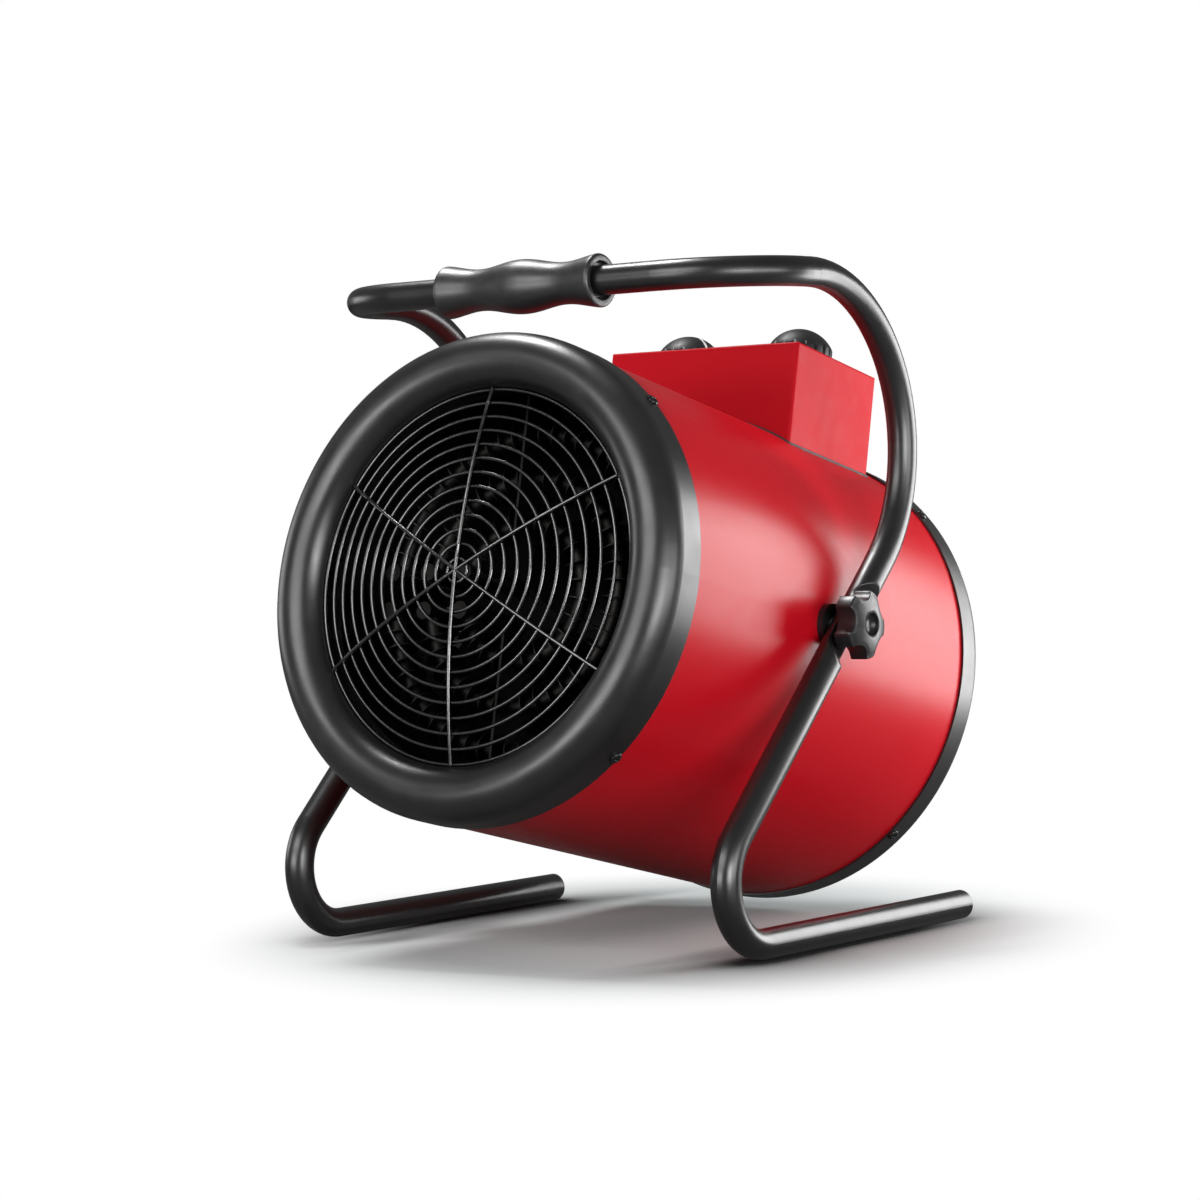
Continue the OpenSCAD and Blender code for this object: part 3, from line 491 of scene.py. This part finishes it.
def add_swells():
    leg = Vector((0, math.cos(LEG_ANGLE), math.sin(LEG_ANGLE)))
    shrink = SWELL_END_SHRINK
    swell = [swell_ring(share) for share in SWELL_SHARES]
    sunk_end = [(shrink * x, y + SWELL_END_STEP, shrink * z) for x, y, z in swell[-1]]
    start = (0, swell[0][0][1], -SWELL_SUNK)
    stop = (0, sunk_end[0][1], 0)
    rings = [[start]] + swell + [sunk_end, [stop]]
    for side, outward in (("right", rightward), ("left", -rightward)):
        seat = pivot + outward * (along("star_knob_" + side, pivot, outward)[0] - SEAT_GAP)
        for end, onward in (("high", leg), ("low", -leg)):
            name = f"seat_swell_{side}_{end}"
            place = axes_at(seat, onward.cross(outward), onward, outward)
            add_piece(name, loft(name, rings, place, TUBE_COAT), "stand", "stand_black")


# Star knobs: scalloped heads with softened edges, a domed face and a round recess
STAR_LOBES = 5
STAR_PITCH = 1.22
STAR_SCALLOP = 0.5
STAR_EASE = 0.5 * MM
STAR_EASE_REACH = 4
STAR_DOME = 2.4
STAR_EDGE = 0.9 * MM
STAR_NECK_R = 9.5 * MM
STAR_NECK = 2.5 * MM
STAR_LIP = 0.5 * MM
STAR_RECESS_R = 6.2 * MM
STAR_RECESS = 3.4 * MM
STAR_RECESS_TAPER = 0.2 * MM
STAR_TURN = math.radians(-81)
STAR_SIDES = 240
STAR_FACE_ROWS = 6


def star_outline(angle, size):
    """Radius of the scalloped outline at an angle, with its corners eased."""
    sector = TURN / STAR_LOBES
    off_scallop = (angle - STAR_TURN) % sector - sector / 2
    across = STAR_PITCH * size * math.sin(off_scallop)
    cut = (STAR_SCALLOP * size) ** 2 - across ** 2
    if cut <= 0:
        return size
    inner = STAR_PITCH * size * math.cos(off_scallop) - math.sqrt(cut)
    if inner >= size + STAR_EASE_REACH * STAR_EASE:
        return size
    return inner - STAR_EASE * math.log(math.exp((inner - size) / STAR_EASE) + 1)


def add_star_knob(node, body, outward):
    size = reach(node, pivot, rightward)
    low, high = along(node, pivot, outward)
    outline = [star_outline(TURN * i / STAR_SIDES, size) for i in range(STAR_SIDES)]
    head = low + STAR_NECK

    def face(radius):
        return high - radius ** 2 / (2 * STAR_DOME * size)

    rings = [circle(STAR_NECK_R, low, STAR_SIDES), circle(STAR_NECK_R, head, STAR_SIDES)]
    for s, c in arc_steps(4):
        inset, rise = STAR_EDGE * (1 - s), STAR_EDGE * (1 - c)
        rings.append(wavy([radius - inset for radius in outline], lambda _: head + rise))
    for s, c in arc_steps(5):
        inset, drop = STAR_EDGE * (1 - c), STAR_EDGE * (1 - s)
        radii = [radius - inset for radius in outline]
        rings.append(wavy(radii, lambda radius: face(radius + inset) - drop))
    lip = STAR_RECESS_R + STAR_LIP
    for step in range(1, STAR_FACE_ROWS + 1):
        share = step / STAR_FACE_ROWS
        radii = [(radius - STAR_EDGE) * (1 - share) + lip * share for radius in outline]
        rings.append(wavy(radii, face))
    for s, c in arc_steps(4):
        rings.append(circle(lip - STAR_LIP * s, face(lip) - STAR_LIP * (1 - c), STAR_SIDES))
    bottom = high - STAR_RECESS
    rings += [circle(STAR_RECESS_R - STAR_RECESS_TAPER, bottom, STAR_SIDES), [(0, 0, bottom)]]
    place = axes_at(pivot, Vector((0, 1, 0)), Vector((0, 0, 1)), outward)
    name = body + "_head"
    add_piece(name, loft(name, rings, place, PLASTIC), body, "knob_plastic", node)


# Control knobs: a fluted skirt under a domed crown, with a white pointer line
DIAL_SKIRT = 7 * MM
DIAL_EDGE = 0.7 * MM
DIAL_FLUTES = 18
DIAL_SIDES = 288
DIAL_ROWS = 28
FLUTE_R = 1.6 * MM
POINTER_WIDTH = 1.6 * MM
POINTER_RISE = 0.04 * MM
POINTER_DEPTH = 1 * MM
POINTER_SPAN = (0.3, 0.93)
POINTER_ROWS = 16
THERMOSTAT_REST = math.radians(-45)
SWITCH_REST = math.radians(247.5)


def fluted(angle, size):
    """Radius of the fluted skirt at an angle."""
    sector = TURN / DIAL_FLUTES
    off_flute = angle % sector - sector / 2
    centre = size + FLUTE_R / 2
    cut = FLUTE_R ** 2 - (centre * math.sin(off_flute)) ** 2
    if cut <= 0:
        return size
    return min(size, centre * math.cos(off_flute) - math.sqrt(cut))


def add_dial(node, body, joint, pointer_turn):
    origin = Vector(joints[joint]["pos_m"])
    size = reach(node, origin, upward)
    low, high = along(node, origin, upward)
    crown = high - low - DIAL_SKIRT
    dome = (size ** 2 + crown ** 2) / (2 * crown)
    outline = [fluted(TURN * i / DIAL_SIDES, size) for i in range(DIAL_SIDES)]

    def dome_height(radius):
        return high - dome + math.sqrt(dome ** 2 - radius ** 2)

    rings = [[(0, 0, low)], circle(size - 2 * DIAL_EDGE, low, DIAL_SIDES)]
    for s, c in arc_steps(3):
        inset, rise = DIAL_EDGE * (1 - s), DIAL_EDGE * (1 - c)
        rings.append(wavy([radius - inset for radius in outline], lambda _: low + rise))
    for step in range(DIAL_ROWS):
        widest = size * math.cos(QUARTER * step / DIAL_ROWS)
        rings.append(wavy([min(radius, widest) for radius in outline], dome_height))
    rings.append([(0, 0, high)])
    place = axes_at(origin, rightward, rearward, upward)
    name = body + "_crown"
    add_piece(name, loft(name, rings, place, DIAL_PLASTIC), body, "knob_plastic", node)

    first, last = POINTER_SPAN
    half = POINTER_WIDTH / 2
    rows = []
    for step in range(POINTER_ROWS + 1):
        outward = size * (first + (last - first) * step / POINTER_ROWS)
        top = dome_height(math.hypot(outward, half)) + POINTER_RISE
        foot = top - POINTER_DEPTH
        sides = ((-half, top), (half, top), (half, foot), (-half, foot))
        rows.append([(x, outward, height) for x, height in sides])
    turned = place @ Matrix.Rotation(pointer_turn, 4, "Z")
    name = body + "_pointer"
    add_piece(name, loft(name, rows, turned, PAINT), body, "cream_plastic")


# Scale marks printed round the dials on the box top
MARK_RISE = 0.03 * MM
MARK_SUNK = 0.2 * MM
MARK_GAP = 2.5 * MM
MARK_FINE = 0.6 * MM
MARK_BOLD = 0.9 * MM
THERMOSTAT_MARKS = 11
SWITCH_MARKS = 4
MARK_SHORT = 2.5 * MM
MARK_LONG = 4 * MM


def add_scale(name, node, joint, pointer_turn, count, lengths):
    """Ticks from a dial's rest place to its limit, the first, middle and last ones bolder."""
    origin = Vector(joints[joint]["pos_m"])
    inner = reach(node, origin, upward) + MARK_GAP
    sweep = math.radians(joints[joint]["range_deg"][0])
    vertices, faces = [], []
    for tick in range(count):
        turn = Matrix.Rotation(pointer_turn + sweep * tick / (count - 1), 4, "Z")
        place = axes_at(origin, rightward, rearward, upward) @ turn
        bold = tick in (0, count // 2, count - 1)
        half = (MARK_BOLD if bold else MARK_FINE) / 2
        outer = inner + lengths[bold]
        start = len(vertices)
        for height in (-MARK_SUNK, MARK_RISE):
            for x, y in ((-half, inner), (half, inner), (half, outer), (-half, outer)):
                vertices.append(place @ Vector((x, y, height)))
        faces.append([start + 4, start + 5, start + 6, start + 7])
        for i in range(4):
            j = (i + 1) % 4
            faces.append([start + i, start + j, start + 4 + j, start + 4 + i])
    mesh = finished_mesh(name, vertices, faces, PAINT, False)
    add_piece(name, mesh, "heater", "cream_plastic")


# Pan-head screws with a cross recess; the rim's height is a share of the head's
SCREW_HEAD = 2.2 * MM
SCREW_HEAD_R = 3.4 * MM
SCREW_RIM = 0.35
SCREW_SIDES = 64
SCREW_ROWS = 24
RECESS_REACH = 1.9 * MM
RECESS_HALF = 0.45 * MM
RECESS_DEPTH = 1.0 * MM


def screw_head(place):
    """Rings of one domed head, from its rim to its middle, with a cross sunk into it."""
    rings = [[place @ Vector(point) for point in circle(SCREW_HEAD_R, 0, SCREW_SIDES)]]
    for step in range(SCREW_ROWS):
        radius = SCREW_HEAD_R * math.cos(QUARTER * step / SCREW_ROWS)
        bulge = math.sqrt(max(0, 1 - (radius / SCREW_HEAD_R) ** 2))
        dome = SCREW_HEAD * (SCREW_RIM + (1 - SCREW_RIM) * bulge)
        ring = []
        for x, y, _ in circle(radius, 0, SCREW_SIDES):
            narrow, wide = sorted((abs(x), abs(y)))
            inside = narrow < RECESS_HALF and wide < RECESS_REACH
            sink = RECESS_DEPTH * math.sqrt(1 - wide / RECESS_REACH) if inside else 0
            ring.append(place @ Vector((x, y, dome - sink)))
        rings.append(ring)
    rings.append([place @ Vector((0, 0, SCREW_HEAD - RECESS_DEPTH))])
    return rings


def screw_places(node, direction=None):
    """Where each screw of a node has its head, found from the node's solids."""
    groups = {}
    for vertex in nodes[node].data.vertices:
        offset = vertex.co - pivot
        corner = (offset.x > 0, offset.dot(upward) > 0)
        groups.setdefault(corner, []).append(vertex.co)
    across = rearward if direction is None else rightward
    places = []
    for points in groups.values():
        middle = sum(points, Vector()) / len(points)
        offset = middle - pivot
        outward = direction or (offset - rearward * offset.dot(rearward)).normalized()
        foot = max(point.dot(outward) for point in points) - SCREW_HEAD
        axis_point = middle + outward * (foot - middle.dot(outward))
        places.append(axes_at(axis_point, across, outward.cross(across), outward))
    return places


def add_screws(node, material, slot, direction=None):
    for number, place in enumerate(screw_places(node, direction)):
        mesh = loft(node, screw_head(place), Matrix.Identity(4), material)
        stands_for = [node] if number == 0 else []
        add_piece(f"{node}_{number}", mesh, "heater", slot, *stands_for)


add_grip()
add_swells()
add_star_knob("star_knob_right", "knob_right", rightward)
add_star_knob("star_knob_left", "knob_left", -rightward)
add_dial("thermostat_knob", "thermostat_dial", "thermostat_turn", THERMOSTAT_REST)
add_dial("switch_knob", "switch_dial", "switch_turn", SWITCH_REST)
add_scale(
    "thermostat_scale", "thermostat_knob", "thermostat_turn", THERMOSTAT_REST,
    THERMOSTAT_MARKS, (MARK_SHORT, MARK_LONG),
)
add_scale(
    "switch_scale", "switch_knob", "switch_turn", SWITCH_REST,
    SWITCH_MARKS, (MARK_LONG, MARK_LONG),
)
add_screws("bezel_screws", SCREW_BLACK, "screw_black")
add_screws("rear_screws", SCREW_BLACK, "screw_black")
add_screws("box_screws", ZINC_PLATE, "zinc_steel", rearward)


# Studio: the strength of the world for surfaces that it lights and for those that mirror it
WORLD_AMBIENT = 0.03
WORLD_MIRRORED = 0.12

# Soft lamps: bearing from the right, rearward, and rise, in degrees; distance; size; radiance
SOFTBOXES = {
    "right_strip": (51, 5, 0.64, (0.36, 0.42), 6),
    "right_front": (-35, 6, 2.0, (0.8, 0.6), 7.5),
    "right_low": (-10, 6, 2.0, (1.6, 0.6), 4.5),
    "left_low": (-100, 5, 2.0, (1.2, 0.5), 5.5),
    "left_far": (-172, 10, 2.0, (1.0, 0.6), 2),
    "front_high": (-97, 29, 2.0, (1.5, 0.6), 4),
    "overhead": (160, 64, 2.0, (0.45, 0.45), 34),
}
POWER_PER_RADIANCE = 4

# Floor: its half width, where its real shadow and painted shade are centred, the distances over
# which they fade to white, how wide they are for their depth, and how a painted shade darkens the
# floor beside the feet
FLOOR_HALF = 12
FLOOR_CENTRE = (0.008, 0.006)
FLOOR_FADE = (0.18, 0.34)
FLOOR_OVAL = 0.77
CONTACT_REACH = 0.09
CONTACT_OPEN = (0.66, 0.99)
CONTACT_SAMPLES = 8
BESIDE_FEET = (0.125, 0.085)


def add_camera():
    data = bpy.data.cameras.new("camera")
    data.sensor_width = SENSOR
    data.sensor_fit = "HORIZONTAL"
    data.lens = LENS
    data.clip_end = CAMERA_SIGHT
    ahead = Vector((
        math.sin(CAMERA_YAW) * math.cos(CAMERA_PITCH),
        math.cos(CAMERA_YAW) * math.cos(CAMERA_PITCH),
        math.sin(CAMERA_PITCH),
    ))
    level = Vector((math.cos(CAMERA_YAW), -math.sin(CAMERA_YAW), 0))
    above = level.cross(ahead)
    across = level * math.cos(CAMERA_ROLL) + above * math.sin(CAMERA_ROLL)
    camera = bpy.data.objects.new("camera", data)
    camera.matrix_world = axes_at(CAMERA_PLACE, across, across.cross(ahead), -ahead)
    bpy.context.scene.collection.objects.link(camera)
    bpy.context.scene.camera = camera


def add_softbox(name, bearing, rise, distance, size, radiance):
    """A soft rectangular lamp that faces the pivot."""
    data = bpy.data.lights.new(name, "AREA")
    data.shape = "RECTANGLE"
    data.size, data.size_y = size
    data.energy = POWER_PER_RADIANCE * radiance * size[0] * size[1]
    lamp = bpy.data.objects.new(name, data)
    level = distance * math.cos(math.radians(rise))
    height = distance * math.sin(math.radians(rise))
    lamp.location = pivot + Vector(polar(level, math.radians(bearing), height))
    lamp.rotation_euler = (pivot - lamp.location).to_track_quat("-Z", "Y").to_euler()
    lamp.visible_camera = False
    bpy.context.scene.collection.objects.link(lamp)


def add_world():
    """White where the camera sees it, dim where it is mirrored, and a weak light elsewhere."""
    world = bpy.data.worlds.new("studio")
    bpy.context.scene.world = world
    world.use_nodes = True
    sky = NodeTree(world.node_tree)
    path = sky.add("LightPath").outputs
    unseen = sky.spread(path["Is Glossy Ray"], WORLD_AMBIENT, WORLD_MIRRORED, 0, 1)
    background = world.node_tree.nodes["Background"]
    sky.feed(background.inputs["Color"], WHITE)
    sky.feed(background.inputs["Strength"], sky.spread(path["Is Camera Ray"], unseen, 1, 0, 1))


def floor_material():
    """A pale floor that keeps the real shadow, has a painted shade round the object and beside the
    feet, and fades into white.
    """
    material = bpy.data.materials.new("floor_white")
    material.use_nodes = True
    material.node_tree.nodes.clear()
    floor = NodeTree(material.node_tree)
    seen = floor.add("LightPath").outputs["Is Camera Ray"]

    # Painted shade beside the feet: darker where other surfaces are near, left unshaded between the
    # feet
    nearby = floor.add("AmbientOcclusion", samples=CONTACT_SAMPLES)
    nearby.inputs["Distance"].default_value = CONTACT_REACH
    openness = floor.spread(nearby.outputs["AO"], 0, 1, *CONTACT_OPEN)
    position = floor.add("NewGeometry").outputs["Position"]
    aside = floor.calculate("ABSOLUTE", floor.part_of(position, "X"))
    between_feet = floor.spread(aside, 0, 1, *BESIDE_FEET)
    unshaded = floor.calculate("MAXIMUM", openness, between_feet)
    tone = floor.tint(unshaded, FLOOR_PAINTED_SHADE, FLOOR_WHITE)
    diffuse = floor.add("BsdfDiffuse")
    floor.feed(diffuse.inputs["Color"], floor.tint(seen, FLOOR_GREY, tone))

    # Near the object the floor keeps its grey lit tone as a painted shade round the real shadow,
    # fading to white further out
    place = floor.add("TexCoord").outputs["Object"]
    distance = floor.combine("LENGTH", floor.combine("MULTIPLY", place, (1 / FLOOR_OVAL, 1, 1)))
    cleared = floor.spread(distance, 0, 1, *FLOOR_FADE, shape="SMOOTHSTEP")
    fade = floor.add("MixShader")
    floor.feed(fade.inputs["Fac"], floor.calculate("MULTIPLY", cleared, seen))
    floor.feed(fade.inputs[1], diffuse.outputs["BSDF"])
    floor.feed(fade.inputs[2], floor.add("Emission").outputs["Emission"])
    floor.feed(floor.add("OutputMaterial").inputs["Surface"], fade.outputs["Shader"])
    return material


def add_floor():
    """A level square, turned so that its shading lies square to the photograph's view."""
    corners = [(-1, -1), (1, -1), (1, 1), (-1, 1)]
    mesh = bpy.data.meshes.new("floor")
    mesh.from_pydata([(FLOOR_HALF * x, FLOOR_HALF * y, 0) for x, y in corners], [], [(0, 1, 2, 3)])
    mesh.materials.append(floor_material())
    floor = bpy.data.objects.new("floor", mesh)
    floor.location = (*FLOOR_CENTRE, cad_box[0][2])
    floor.rotation_euler = (0, 0, -CAMERA_YAW)
    bpy.context.scene.collection.objects.link(floor)


add_camera()
add_world()
add_floor()
for softbox, settings in SOFTBOXES.items():
    add_softbox(softbox, *settings)
bpy.context.scene.view_settings.view_transform = "Standard"
